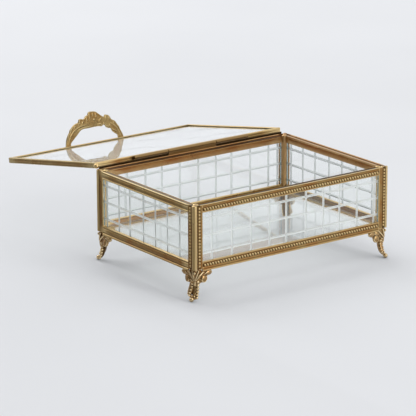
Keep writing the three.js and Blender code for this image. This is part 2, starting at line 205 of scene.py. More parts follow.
def melted(name, shells, voxel, smoothing):
    """One object from closed shells run together as in a casting."""
    points, faces = [], []
    for shell_points, shell_faces in shells:
        start = len(points)
        points.extend(shell_points)
        faces.extend([tuple(start + i for i in face) for face in shell_faces])
    thing = raw_object(name, points, faces)
    remesh = thing.modifiers.new("remesh", "REMESH")
    remesh.mode = "VOXEL"
    remesh.voxel_size = voxel
    remesh.adaptivity = 0
    smooth = thing.modifiers.new("smooth", "SMOOTH")
    smooth.factor = 0.5
    smooth.iterations = smoothing
    return applied(thing)


def vertex_data(mesh, name):
    values = np.zeros(len(mesh.vertices) * 3)
    mesh.vertices.foreach_get(name, values)
    return values.reshape(-1, 3)


# How hollow a channel counts at least, which paints it dark: partly dirt, partly painted shade.
CHANNEL_DIRT_AND_SHADE = 0.78


def mark_hollows(mesh, scale, in_channel):
    """Stores how hollow the surface is at each vertex, 0 on a crest and 1 in a crease; the brass paints
    crests lighter and hollows darker from it. in_channel(points) tells which vertices lie in a channel,
    which counts as deeply hollow so that it is painted dark, partly as dirt and partly as painted shade."""
    count = len(mesh.vertices)
    places, normals = vertex_data(mesh, "co"), vertex_data(mesh, "normal")
    ends = np.zeros(len(mesh.edges) * 2, np.int64)
    mesh.edges.foreach_get("vertices", ends)
    a, b = ends.reshape(-1, 2).T
    near = np.zeros((count, 3))
    weight = np.zeros(count)
    apart = np.linalg.norm(places[a] - places[b], axis=1) + 1e-9
    for here, there in ((a, b), (b, a)):
        np.add.at(near, here, (places[there] - places[here]) / apart[:, None])
        np.add.at(weight, here, 1)
    bend = np.einsum("ij,ij->i", near, normals) / np.maximum(weight, 1)
    for _ in range(2):
        total = np.zeros(count)
        np.add.at(total, a, bend[b])
        np.add.at(total, b, bend[a])
        bend = (bend + total / np.maximum(weight, 1)) / 2
    hollow = np.clip(0.5 + bend * scale, 0, 1)
    if in_channel is not None:
        hollow = np.where(in_channel(places), np.maximum(hollow, CHANNEL_DIRT_AND_SHADE), hollow)
    attribute = mesh.attributes.new("hollow", "FLOAT", "POINT")
    attribute.data.foreach_set("value", hollow.astype(np.float32))


def finish_piece(thing, place, body, material, nodes, sharp=32.0, hollow_scale=2.4,
                 in_channel=None):
    """Moves a piece from its local millimetre frame to the row frame and dresses it."""
    mesh = thing.data
    mesh.validate()
    mesh.update()
    mark_hollows(mesh, hollow_scale, in_channel)
    mesh.transform(place @ Matrix.Scale(MM, 4))
    mesh.shade_smooth()
    if sharp is not None:
        mesh.set_sharp_from_angle(angle=math.radians(sharp))
    mesh.materials.clear()
    mesh.materials.append(material)
    mesh.update()
    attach(thing, body)
    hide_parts(*nodes)


def loft(rings):
    """A closed shell through rings with the same number of points."""
    rings = np.asarray(rings, float)
    count, size = rings.shape[:2]
    faces = []
    for i in range(count - 1):
        for j in range(size):
            k = (j + 1) % size
            faces.append((i * size + j, i * size + k, (i + 1) * size + k, (i + 1) * size + j))
    faces.append(tuple(range(size - 1, -1, -1)))
    faces.append(tuple((count - 1) * size + j for j in range(size)))
    return outward(rings.reshape(-1, 3), faces)


def outward(points, faces):
    """Turns a closed shell's faces to look out, judged by the sign of its volume."""
    volume = 0.0
    for face in faces:
        first = points[face[0]]
        for second, third in zip(face[1:-1], face[2:]):
            volume += np.dot(first, np.cross(points[second], points[third]))
    if volume < 0:
        faces = [face[::-1] for face in faces]
    return points, faces


def lathe(profile, sides=32):
    """A closed shell of revolution round X from a closed loop of (x, radius)."""
    profile = np.asarray(profile, float)
    size = len(profile)
    points = []
    for i in range(sides):
        angle = 2 * math.pi * i / sides
        for x, radius in profile:
            points.append((x, radius * math.cos(angle), radius * math.sin(angle)))
    faces = []
    for i in range(sides):
        n = (i + 1) % sides
        for j in range(size):
            k = (j + 1) % size
            faces.append((i * size + j, i * size + k, n * size + k, n * size + j))
    return outward(np.asarray(points), faces)


def ball(centre, radii, sides=20):
    """An ellipsoid with half axes along X, Y and Z."""
    rings = []
    for i in range(1, sides):
        fall = math.pi * i / sides
        ring = []
        for j in range(2 * sides):
            turn = math.pi * j / sides
            ring.append((
                centre[0] + radii[0] * math.sin(fall) * math.cos(turn),
                centre[1] + radii[1] * math.sin(fall) * math.sin(turn),
                centre[2] + radii[2] * math.cos(fall),
            ))
        rings.append(ring)
    return loft(rings)


def upright_rod(x, y, radius_at, z0, z1, sides=40):
    """An upright rod with a domed top. radius_at(angle) gives its cross-section."""
    angles = np.linspace(0, 2 * math.pi, sides, endpoint=False)
    radii = np.array([radius_at(a) for a in angles])
    dome = radii.max() * 0.55
    rings = []
    for z in (z0, (z0 + z1) / 2, z1 - dome):
        rings.append(rod_ring(x, y, angles, radii, z))
    for step in (0.3, 0.55, 0.75, 0.9, 0.98):
        rings.append(rod_ring(x, y, angles, radii * math.sqrt(1 - step * step), z1 - dome * (1 - step)))
    return loft(rings)


def rod_ring(x, y, angles, radii, z):
    heights = np.full(len(angles), z)
    return np.stack([x + radii * np.cos(angles), y + radii * np.sin(angles), heights], 1)


def smooth_path(points, steps):
    """Points on a Catmull-Rom curve through the given ones, with steps between each two."""
    knots = np.asarray(points, float)
    knots = np.vstack([2 * knots[0] - knots[1], knots, 2 * knots[-1] - knots[-2]])
    found = []
    for i in range(1, len(knots) - 2):
        a, b, c, d = knots[i - 1:i + 3]
        for step in range(steps):
            t = step / steps
            found.append(0.5 * (2 * b + (c - a) * t + (2 * a - 5 * b + 4 * c - d) * t * t
                                + (3 * b - a - 3 * c + d) * t ** 3))
    found.append(knots[-2])
    return np.array(found)


def strand(points, radii, depth=1.0, steps=8, sides=14):
    """A tapering strand down a curve. depth scales its size along Y."""
    path = smooth_path(points, steps)
    spans = np.linspace(0, len(radii) - 1, len(path))
    sizes = np.interp(spans, np.arange(len(radii)), radii)
    along = np.gradient(path, axis=0)
    along /= np.linalg.norm(along, axis=1)[:, None]
    side = np.cross(along[0], (0.0, 1.0, 0.0))
    if np.linalg.norm(side) < 0.2:
        side = np.cross(along[0], (1.0, 0.0, 0.0))
    rings = []
    for spot, direction, size in zip(path, along, sizes):
        side = side - direction * np.dot(side, direction)
        side /= np.linalg.norm(side)
        other = np.cross(direction, side)
        ring = []
        for j in range(sides):
            turn = 2 * math.pi * j / sides
            away = size * (math.cos(turn) * side + math.sin(turn) * other)
            ring.append(spot + away * (1, depth, 1))
        rings.append(ring)
    return loft(rings)


# ---- rails and posts ----


def bump(offset, half_width, height):
    """The height of a rounded ridge at a distance from its middle."""
    share = np.clip(1 - (offset / half_width) ** 2, 0, 1)
    return height * np.sqrt(share)


def bead_share(along, start, length):
    """How far up a bead each place in a row is, 0 between two beads and 1 on a crest."""
    beads = int(length / BEAD_PITCH)
    first = start + (length - beads * BEAD_PITCH) / 2
    phase = (along - first) / BEAD_PITCH
    inside = (phase > 0) & (phase < beads)
    offset = (phase % 1 - 0.5) * BEAD_PITCH
    return np.where(inside, np.sqrt(np.clip(1 - (offset / BEAD_HALF_LENGTH) ** 2, 0, 1)), 0.0)


# Ridges and bead rows as (middle height, half height, relief), over channels CHANNEL deep.
CHANNEL = 0.3
TOP_RIDGES = ((78.9, 0.45, 0.45), (77.5, 1.05, 0.0), (73.0, 0.95, 0.2))
TOP_BEADS = (75.1, 1.4, 0.8)
TOP_PLAIN_RIDGES = ((78.7, 0.75, 0.5), (75.9, 1.55, 0.2), (72.9, 0.9, 0.4))
BOTTOM_RIDGES = ((31.3, 1.1, 0.1), (26.5, 1.1, 0.15), (24.6, 1.1, 0.5))
BOTTOM_BEADS = (28.9, 1.4, 0.8)
BOTTOM_PLAIN_RIDGES = ((31.5, 0.7, 0.4), (28.4, 1.8, 0.2), (24.8, 1.2, 0.5))


def face_line(low, high, ridges, step=0.25):
    """Heights up a rail's face and how far its long ridges stand out at each."""
    heights = np.linspace(low, high, int(round((high - low) / step)) + 1)
    out = np.full(len(heights), -CHANNEL)
    for middle, half, height in ridges:
        out = np.maximum(out, bump(heights - middle, half, height + CHANNEL) - CHANNEL)
    rounding = 0.35
    edge = np.minimum(heights - low, high - heights)
    out -= rounding * np.clip(1 - edge / rounding, 0, 1) ** 2
    return heights, out


def rail_shell(length, face_low, face_high, ridges, beads, rest, stations):
    """A rail's shell. rest lists the (depth, height) corners behind its outer face, from its top
    edge round to its bottom edge. beads is a row as above, or None for a plain rail."""
    heights, out = face_line(face_low, face_high, ridges)
    rings = []
    for share_along in stations:
        ring = []
        extra = -CHANNEL
        if beads is not None:
            along = POST_LEG + share_along * (length - 2 * POST_LEG)
            slanted = along + BEAD_SLANT * (heights - beads[0])
            crest = bead_share(slanted, POST_LEG, length - 2 * POST_LEG)
            extra = bump(heights - beads[0], beads[1], beads[2] + CHANNEL) * crest - CHANNEL
        total = np.maximum(out, extra)
        for height, relief in zip(heights, total):
            ring.append((rail_end(share_along, length, FACE_INSET), FACE_INSET - relief, height))
        for depth, height in rest:
            ring.append((rail_end(share_along, length, depth), depth, height))
        rings.append(ring)
    return loft(rings)


def rail_end(share, length, depth):
    """Where a rail's fibre at this depth is: inner fibres start nearer the corner."""
    depths = (FACE_INSET + SHEET, FACE_INSET + 2 * SHEET + PANE)
    inset = np.interp(depth, depths, (POST_LEG + 0.02, PANE_START + 0.2))
    return inset + share * (length - 2 * inset)


def rail_stations(length, beaded):
    """How far along a rail its sections are: ten for each bead, or a few on a plain rail."""
    count = int((length - 2 * POST_LEG) / BEAD_PITCH * 10) if beaded else 24
    return np.linspace(0, 1, count + 1)


def in_rail_channel(points):
    """The channels between a rail's long ridges, between its beads and along its top, which are painted
    dark, partly as dirt and partly as painted shade.
    """
    behind_face = points[:, 1] - FACE_INSET
    below_rim = RIM_HEIGHT - points[:, 2]
    on_face = (behind_face > 0.2) & (behind_face < 0.5)
    return on_face | ((below_rim > 0.5) & (below_rim < 0.95) & (behind_face > 0.65))


def top_rail(index):
    wall, length = WALLS[index], WALL_LENGTHS[index]
    beaded = wall == "front"
    back = FACE_INSET + 2 * SHEET + PANE + 2 * GAP
    low, high = RIM_HEIGHT - TOP_RAIL_HEIGHT, RIM_HEIGHT
    inner_lip, inner_drop = (2.4, 0.2) if wall == "right" else (0.4, 0.55)
    bed = GAP - 0.02
    rest = [
        (FACE_INSET + 0.5, high - 0.02), (FACE_INSET + 0.9, high - 0.08),
        (FACE_INSET + 1.3, high - 0.6), (FACE_INSET + 1.5, high - 0.9),
        (back - inner_lip - 0.3, high - 0.9), (back - inner_lip, high - 0.6),
        (back - inner_lip + 0.2, high - inner_drop), (back - 0.08, high - inner_drop - 0.05),
        (back, high - 1.2), (back - 0.12, high - 1.9), (back - 0.12, high - 2.4),
        (back, high - 3.0), (back, low + 1.2), (back - 0.1, low + 0.3), (back - 0.4, low),
        (back - SHEET - bed, low), (back - SHEET, high - SHEET - 0.05),
        (FACE_INSET + SHEET, high - SHEET - 0.05), (FACE_INSET + SHEET + bed, low),
    ]
    ridges = TOP_RIDGES if beaded else TOP_PLAIN_RIDGES
    beads = TOP_BEADS if beaded else None
    shell = rail_shell(length, low, high, ridges, beads, rest, rail_stations(length, beaded))
    thing = joined(f"rail_top_{wall}", [shell])
    # The left rail faces away from the lamps and takes the darker olive brass as painted shade.
    material = {"front": BRASS, "left": OLIVE_AND_SHADED_SIDE_BRASS}.get(wall, RUDDY_BRASS)
    finish_piece(thing, corner_frame(index), "box", material,
                 [f"top_rail_{wall}"], in_channel=in_rail_channel)


def bottom_rail(index):
    wall, length = WALLS[index], WALL_LENGTHS[index]
    beaded = wall == "front"
    back = FACE_INSET + 2 * SHEET + PANE + 2 * GAP
    low, high = POST_BOTTOM - BOTTOM_RAIL_DROP, BOTTOM_RAIL_TOP
    web = POST_BOTTOM + SHEET
    inner = high + (FAR_LEG_RISE if wall in ("right", "back") else NEAR_LEG_RISE)
    bed = GAP - 0.02
    rest = [
        (FACE_INSET + 0.5, high - 0.02), (FACE_INSET + SHEET + bed, high - 0.1),
        (FACE_INSET + SHEET, web), (back - SHEET, web), (back - SHEET - bed, inner - 0.1),
        (back - 0.4, inner), (back - 0.05, inner - 0.4), (back, inner - 1.0),
        (back - 0.3, inner - 1.5), (back - 0.3, inner - 1.9), (back, inner - 2.4),
        (back, web), (POST_LEG, web - 0.1), (POST_LEG, POST_BOTTOM),
        (FACE_INSET + SHEET, POST_BOTTOM), (FACE_INSET + SHEET, low + 0.2),
    ]
    ridges = BOTTOM_RIDGES if beaded else BOTTOM_PLAIN_RIDGES
    beads = BOTTOM_BEADS if beaded else None
    shell = rail_shell(length, low, high, ridges, beads, rest, rail_stations(length, beaded))
    thing = joined(f"rail_bottom_{wall}", [shell])
    finish_piece(thing, corner_frame(index), "box", BRASS,
                 [f"bottom_rail_{wall}"], in_channel=in_rail_channel)


NOSE_GROOVE_END = 4.5
NOSE_GROOVE_DEPTH = 0.8
FLANGE_BEADS = (5.75, 1.1, 0.7)
FLANGE_RIDGES = ((8.0, 1.15, 0.15),)
PLAIN_FLANGE_RIDGES = ((5.8, 1.0, 0.05), (8.0, 1.15, 0.2))


def in_flange_channel(points):
    """The groove beside a post's nose and the gaps round its beads, which are painted dark, partly as
    dirt and partly as painted shade.
    """
    depth = points[:, :2].min(axis=1) - FACE_INSET
    along = points[:, :2].max(axis=1)
    return (depth > 0.15) & (depth < 0.95) & (along > 2.2) & (along < POST_LEG - 0.1)


def post_angle(beaded, nose_radius):
    """The post's two flanges as one shell, with a bead row up each where it is beaded. The rows
    move towards the corner with a slimmer nose."""
    shift = 2 * (nose_radius - NOSE_RADIUS)
    groove_end = NOSE_GROOVE_END + shift
    outer = np.linspace(nose_radius, POST_LEG, 34)
    out = np.full(len(outer), -CHANNEL)
    for middle, half, height in (FLANGE_RIDGES if beaded else PLAIN_FLANGE_RIDGES):
        reach = half - shift / 2
        out = np.maximum(out, bump(outer - middle - shift / 2, reach, height + CHANNEL) - CHANNEL)
    out = np.where(outer < groove_end, -NOSE_GROOVE_DEPTH, out)
    back = FACE_INSET + SHEET
    count = int((RIM_HEIGHT - POST_BOTTOM) / BEAD_PITCH * 10) if beaded else 16
    rings = []
    for z in np.linspace(POST_BOTTOM, RIM_HEIGHT, count + 1):
        total = out
        if beaded:
            crest = bead_share(np.array([z]), POST_BOTTOM + 1, RIM_HEIGHT - POST_BOTTOM - 2)[0]
            offset = outer - FLANGE_BEADS[0] - shift
            bead = bump(offset, FLANGE_BEADS[1], FLANGE_BEADS[2] + CHANNEL) * crest - CHANNEL
            total = np.maximum(out, bead)
        face = [(s, FACE_INSET - relief, z) for s, relief in zip(outer, total)]
        across = [(FACE_INSET - relief, s, z) for s, relief in zip(outer, total)]
        ring = across[::-1] + face + [(POST_LEG, back, z), (back, back, z), (back, POST_LEG, z)]
        rings.append(ring)
    return loft(rings)


def rod_section(angle):
    """The inner rod's radius at an angle. Two shallow flutes face into the box."""
    flutes = sum(math.exp(-((angle - math.radians(a)) / 0.16) ** 2) for a in (22, 68))
    return ROD_RADIUS * (1 - 0.07 * flutes)


def post(index):
    corner = CORNERS[index][0]
    beaded = corner.startswith("front")
    radius = SLIM_NOSE_RADIUS if corner == "front_right" else NOSE_RADIUS
    nose = upright_rod(radius, radius, lambda a: radius, POST_BOTTOM - 0.02, RIM_HEIGHT + NOSE_RISE)
    core = upright_rod(CORE_CENTRE, CORE_CENTRE, lambda a: CORE_RADIUS, POST_BOTTOM - 0.01,
                       RIM_HEIGHT + 0.2)
    floor_top = POST_BOTTOM + SHEET + GAP + PANE
    rod = upright_rod(ROD_CENTRE, ROD_CENTRE, rod_section, floor_top + 0.05, RIM_HEIGHT + 0.3)
    thing = joined(f"corner_post_{corner}", [post_angle(beaded, radius), nose, core, rod])
    material = RUDDY_BRASS if corner == "back_right" else BRASS
    finish_piece(thing, corner_frame(index), "box", material,
                 [f"post_{corner}"], in_channel=in_flange_channel)


# ---- glass ----


def groove_depth(offset):
    """A V groove with a slightly rounded bottom and polished shoulders."""
    share = np.abs(offset) / GROOVE_HALF_WIDTH
    bottom = 0.12
    soft = np.sqrt(share ** 2 + bottom ** 2) - bottom * 0.6
    return GROOVE_DEPTH * np.clip(1 - soft, 0, 1)


def cut_lines(low, high, grooves):
    """Places to cut a pane's mesh along one direction: its ends and a few lines in each groove."""
    offsets = np.array((-1.05, -0.9, -0.7, -0.4, -0.2, -0.08, 0.08, 0.2, 0.4, 0.7, 0.9, 1.05))
    lines = [low, high]
    for middle in grooves:
        lines.extend(middle + offsets)
    lines = np.array(sorted(lines))
    return lines[(lines >= low) & (lines <= high)]


def cut_pane_shell(length, uprights):
    """A side pane, with V grooves in its outer face. Each cell of its grid is split along the
    diagonal that follows the groove."""
    s0, s1 = PANE_START, length - PANE_START
    d0 = FACE_INSET + SHEET + GAP
    z0 = POST_BOTTOM + SHEET + GAP
    z1 = RIM_HEIGHT - SHEET - GAP
    across = cut_lines(s0, s1, uprights)
    up = cut_lines(z0, z1, LEVEL_GROOVES)
    by_upright = np.max([groove_depth(across - g) for g in uprights], axis=0)
    by_level = np.max([groove_depth(up - g) for g in LEVEL_GROOVES], axis=0)
    depth = np.maximum(by_upright[:, None], by_level[None, :])
    points, faces = [], []
    rows, columns = len(across), len(up)
    for i, s in enumerate(across):
        for j, z in enumerate(up):
            points.append((s, d0 + depth[i, j], z))
    for s in across:
        for z in up:
            points.append((s, d0 + PANE, z))
    back = rows * columns

    def spot(i, j):
        return i * columns + j

    for i in range(rows - 1):
        for j in range(columns - 1):
            a, b, c, d = spot(i, j), spot(i + 1, j), spot(i + 1, j + 1), spot(i, j + 1)
            ridge_ac = abs(depth[i, j] - depth[i + 1, j + 1])
            ridge_bd = abs(depth[i + 1, j] - depth[i, j + 1])
            if ridge_ac < ridge_bd:
                faces.extend([(a, b, c), (a, c, d)])
            else:
                faces.extend([(a, b, d), (b, c, d)])
            faces.append((back + d, back + c, back + b, back + a))
    rims = [(spot(i, j), spot(i + 1, j)) for i in range(rows - 1) for j in (0, columns - 1)]
    rims += [(spot(i, j), spot(i, j + 1)) for j in range(columns - 1) for i in (0, rows - 1)]
    faces.extend((a, b, back + b, back + a) for a, b in rims)
    return np.array(points), faces


def face_outwards(thing):
    """Makes a closed mesh's faces agree and look out."""
    work = bmesh.new()
    work.from_mesh(thing.data)
    bmesh.ops.recalc_face_normals(work, faces=work.faces)
    work.to_mesh(thing.data)
    work.free()


POLISHED, GROUND, DEEP_EDGE = range(3)


def glass_piece(thing, place, body, node, sharp, across, edge_finish=DEEP_EDGE):
    """Dresses a pane: its ground grooves and its deep-coloured edges have finishes of their own.
    across is the axis through the pane's thickness."""
    face_outwards(thing)
    finish = [pane_finish(polygon, across, edge_finish) for polygon in thing.data.polygons]
    finish_piece(thing, place, body, CLEAR_GLASS, [node], sharp=sharp)
    thing.data.materials.append(GROUND_GLASS)
    thing.data.materials.append(GLASS_EDGE)
    thing.data.polygons.foreach_set("material_index", finish)


def pane_finish(polygon, across, edge_finish):
    """The finish of one face of a pane, by how squarely it looks across the thickness."""
    facing = abs(polygon.normal[across])
    if facing < 0.3:
        return edge_finish
    in_groove = facing < 0.985 and len(polygon.vertices) == 3
    return GROUND if in_groove else POLISHED


def cut_pane(index):
    wall, length = WALLS[index], WALL_LENGTHS[index]
    thing = raw_object(f"pane_{wall}", *cut_pane_shell(length, UPRIGHT_GROOVES[wall]))
    glass_piece(thing, corner_frame(index), "box", f"glass_{wall}", 8.0, 1)


def plain_pane_shell(x0, x1, y0, y1, z0, z1, bevel=0.35):
    """A flat pane with ground edges."""
    rings = []
    for inset, z in ((bevel, z0), (0, z0 + bevel), (0, z1 - bevel), (bevel, z1)):
        rings.append([
            (x0 + inset, y0 + inset, z), (x1 - inset, y0 + inset, z),
            (x1 - inset, y1 - inset, z), (x0 + inset, y1 - inset, z),
        ])
    return loft(rings)


def floor_pane():
    edge = FACE_INSET + 2 * SHEET + PANE + 3 * GAP
    z0 = POST_BOTTOM + SHEET + GAP
    half_x, half_y = BOX_LENGTH / 2 - edge, BOX_DEPTH / 2 - edge
    shell = plain_pane_shell(-half_x, half_x, -half_y, half_y, z0, z0 + PANE)
    thing = raw_object("pane_floor", *shell)
    place = Matrix.Translation((CENTRE.x, CENTRE.y, 0))
    glass_piece(thing, place, "box", "glass_floor", 20.0, 2, POLISHED)


def lid_pane():
    inset = LID_WALL + GAP
    half = LID_LENGTH / 2 - inset
    y0, y1 = LID_SETBACK + inset, LID_SETBACK + LID_REACH - inset
    z0, z1 = LID_INNER - LID_HEIGHT + LID_LIP + GAP, LID_INNER - LID_LIP - GAP
    thing = raw_object("pane_lid", *plain_pane_shell(-half, half, y0, y1, z0, z1))
    glass_piece(thing, lid_frame(), "lid", "lid_glass", 20.0, 2)


# ---- lid rims and hinge ----


def rim_section():
    """The lid rim's cross-section as (depth, height). Its outer wall is rounded and ridged."""
    low, high = LID_INNER - LID_HEIGHT, LID_INNER
    heights = np.linspace(low, high, 21)
    out = np.maximum(bump(heights - (low + 1.3), 1.1, 0.12), bump(heights - (high - 1.2), 1.0, 0.12))
    edge = np.minimum(heights - low, high - heights)
    out -= 0.3 * np.clip(1 - edge / 0.4, 0, 1) ** 2
    wall = [(max(0.12 - relief, 0.0), height) for height, relief in zip(heights, out)]
    return wall + [
        (1.0, high), (LID_LIP_WIDTH - 0.25, high), (LID_LIP_WIDTH, high - 0.25),
        (LID_LIP_WIDTH, high - LID_LIP), (LID_WALL, high - LID_LIP), (LID_WALL, low + LID_LIP),
        (LID_LIP_WIDTH, low + LID_LIP), (LID_LIP_WIDTH, low + 0.25), (LID_LIP_WIDTH - 0.25, low),
        (1.0, low),
    ]


def lid_rim(side, length, x, y, turn, material):
    section = rim_section()
    rings = []
    for share in np.linspace(-1, 1, 17):
        rings.append([(share * (length / 2 - 0.03 - depth), depth, height) for depth, height in section])
    thing = joined(f"rim_{side}", [loft(rings)])
    place = lid_frame() @ Matrix.Translation((x * MM, y * MM, 0)) @ Matrix.Rotation(turn, 4, "Z")
    finish_piece(thing, place, "lid", material, [f"lid_rim_{side}"])


def lid_rims():
    free_edge = LID_SETBACK + LID_REACH
    middle = LID_SETBACK + LID_REACH / 2
    side = LID_LENGTH / 2
    lid_rim("hinge_side", LID_LENGTH, 0, LID_SETBACK, 0, BRASS)
    lid_rim("right", LID_REACH, side, middle, math.pi / 2, BRASS)
    lid_rim("handle_side", LID_LENGTH, 0, free_edge, math.pi, BRASS)
    # The left rim faces away from the lamps and takes the darker olive brass as painted shade.
    lid_rim("left", LID_REACH, -side, middle, -math.pi / 2, OLIVE_AND_SHADED_SIDE_BRASS)


def tube_shell(x0, x1):
    """A knuckle round the hinge axis, with softened ends."""
    soft = 0.25
    return lathe([
        (x0, BORE_RADIUS), (x0, KNUCKLE_RADIUS - soft), (x0 + soft, KNUCKLE_RADIUS),
        (x1 - soft, KNUCKLE_RADIUS), (x1, KNUCKLE_RADIUS - soft), (x1, BORE_RADIUS),
    ])


def plate_shell(x0, x1, y0, y1, z0, z1, soft=0.15):
    rings = []
    for x, inset in ((x0, soft), (x0 + soft, 0), (x1 - soft, 0), (x1, soft)):
        rings.append([
            (x, y0 + inset, z0 + inset), (x, y1 - inset, z0 + inset),
            (x, y1 - inset, z1 - inset), (x, y0 + inset, z1 - inset),
        ])
    return loft(rings)


def hinge():
    half = MIDDLE_KNUCKLE / 2
    leaf_face = GAP - HINGE_BEHIND
    leaf_low = -HINGE_ABOVE - 0.8 * TOP_RAIL_HEIGHT
    leaf = plate_shell(-half, half, leaf_face, leaf_face + BOX_LEAF, leaf_low, -0.9)
    middle = joined("knuckle_middle", [tube_shell(-half, half), leaf])
    finish_piece(middle, hinge_frame(), "box", DARK_BRASS, ["hinge_knuckle_middle"])
    for side, name in ((-1, "left"), (1, "right")):
        near = half + GAP
        x0 = near if side > 0 else -near - OUTER_KNUCKLE
        x1 = x0 + OUTER_KNUCKLE
        low = LID_INNER - LID_HEIGHT + 0.6
        leaf = plate_shell(x0, x1, BORE_RADIUS + 0.05, LID_SETBACK + 0.1, low, LID_INNER - 0.4)
        knuckle = joined(f"knuckle_{name}", [tube_shell(x0, x1), leaf])
        finish_piece(knuckle, lid_frame(), "lid", DARK_BRASS, [f"lid_knuckle_{name}"])


def hinge_strips():
    """Thin near-black strips along the back rail, which stand for the shade in the gap under the lid."""
    face = GAP - HINGE_BEHIND
    start = MIDDLE_KNUCKLE / 2 + GAP
    for name, x0, x1 in (("left", -STRIP_END, -start), ("right", start, STRIP_END)):
        plate = plate_shell(x0, x1, face, face + STRIP, -STRIP_LOW, -STRIP_HIGH)
        strip = joined(f"strip_{name}", [plate])
        finish_piece(strip, hinge_frame(), "box", PAINTED_SHADE_BRASS,
                     [f"hinge_strip_{name}"])


def end_ball():
    centre = (-LID_LENGTH / 2 - PIN_BALL_OUT, 0, -PIN_BALL_DROP)
    thing = joined("ball_hinge_end", [ball(centre, (PIN_BALL_RADIUS,) * 3)])
    # The ball takes the brighter brass, a painted highlight as well as wear.
    finish_piece(thing, lid_frame(), "lid", RUBBED_AND_HIGHLIT_BRASS, ["hinge_end_ball"], sharp=None)


# ---- castings ----


def outline_plate(outline, y0, y1, soft, steps=4):
    """A plate with softened rims from a smooth outline in (length, height)."""
    closed = [outline[-1]] + list(outline) + [outline[0], outline[1]]
    path = smooth_path([(x, 0, z) for x, z in closed], steps)[steps:-steps - 1]
    around = np.roll(path, -1, axis=0) - np.roll(path, 1, axis=0)
    around /= np.linalg.norm(around, axis=1)[:, None]
    inward = np.stack([-around[:, 2], np.zeros(len(path)), around[:, 0]], 1)
    area = np.sum(path[:, 0] * np.roll(path[:, 2], -1) - np.roll(path[:, 0], -1) * path[:, 2])
    if area < 0:
        inward = -inward
    rings = []
    for y, inset in ((y0, soft), (y0 + soft, 0), (y1 - soft, 0), (y1, soft)):
        ring = path + inward * inset
        ring[:, 1] = y
        rings.append(ring)
    return loft(rings)


def swapped(shell):
    """The same shell reflected across the corner's diagonal."""
    points, faces = shell
    return outward(points[:, [1, 0, 2]], faces)


def wing_shells():
    """One wing of a foot's bracket, along the +X wall."""
    y = BRACKET_INSET + 0.5
    top, under_rail = POST_BOTTOM + 0.1, POST_BOTTOM - BOTTOM_RAIL_DROP + 0.1
    outline = [
        (1.6, top - 0.1), (4.5, top), (POST_LEG - 0.2, top - 0.2), (POST_LEG + 0.1, under_rail),
        (12.5, under_rail - 0.1), (17.0, under_rail - 0.1), (18.8, 22.4), (17.6, 20.0),
        (14.6, 19.2), (13.6, 17.2), (11.8, 14.6),
        (8.6, 14.2), (6.6, 13.4), (5.8, 12.2), (3.2, 12.0), (1.6, 14.0), (1.5, 20.0),
    ]
    shells = [outline_plate(outline, y, y + 1.6, 0.4)]
    shells.append(ball((15.4, y + 0.3, 21.8), (3.4, 1.6, 2.4), 14))
    shells.append(ball((10.6, y + 0.3, 17.3), (3.3, 1.7, 3.3), 14))
    shells.append(ball((9.4, y + 0.5, 21.6), (3.6, 1.3, 2.4), 14))
    scroll = [(12.9, y - 0.5, 19.6), (13.1, y - 0.5, 17.0), (11.3, y - 0.7, 15.0), (9.0, y - 0.7, 15.7),
              (8.6, y - 0.7, 17.6), (10.2, y - 0.7, 18.6), (11.2, y - 0.9, 17.3)]
    shells.append(strand(scroll, [0.4, 0.6, 0.65, 0.6, 0.5, 0.5, 0.4]))
    curl = [(10.6, y - 0.4, 20.6), (13.2, y - 0.5, 22.2), (16.2, y - 0.5, 23.0),
            (18.0, y - 0.4, 21.9), (16.6, y - 0.5, 20.6)]
    shells.append(strand(curl, [0.35, 0.55, 0.6, 0.5, 0.35]))
    return shells


def rib_shells():
    """Ribs that run down both wings and meet in a V at the corner, above the leg."""
    paths = (
        [(1.2, 8.8, 24.2), (1.1, 5.6, 20.9), (1.9, 2.2, 17.3)],
        [(1.1, 3.8, 25.2), (1.2, 2.9, 21.8), (2.0, 2.0, 17.8)],
        [(4.9, 1.1, 25.2), (3.4, 1.1, 21.6), (2.1, 1.8, 17.8)],
        [(9.6, 1.2, 23.4), (5.9, 1.0, 20.6), (2.3, 1.8, 17.2)],
    )
    shells = [strand(path, [0.8, 0.85, 0.75]) for path in paths]
    shells.append(ball((1.3, 1.3, 23.4), (0.9, 0.9, 1.3), 10))
    shells.append(strand([(3.4, 3.4, 25.7), (3.4, 3.4, 20.0), (3.8, 3.8, 15.4)], [2.4, 2.0, 2.3]))
    return shells


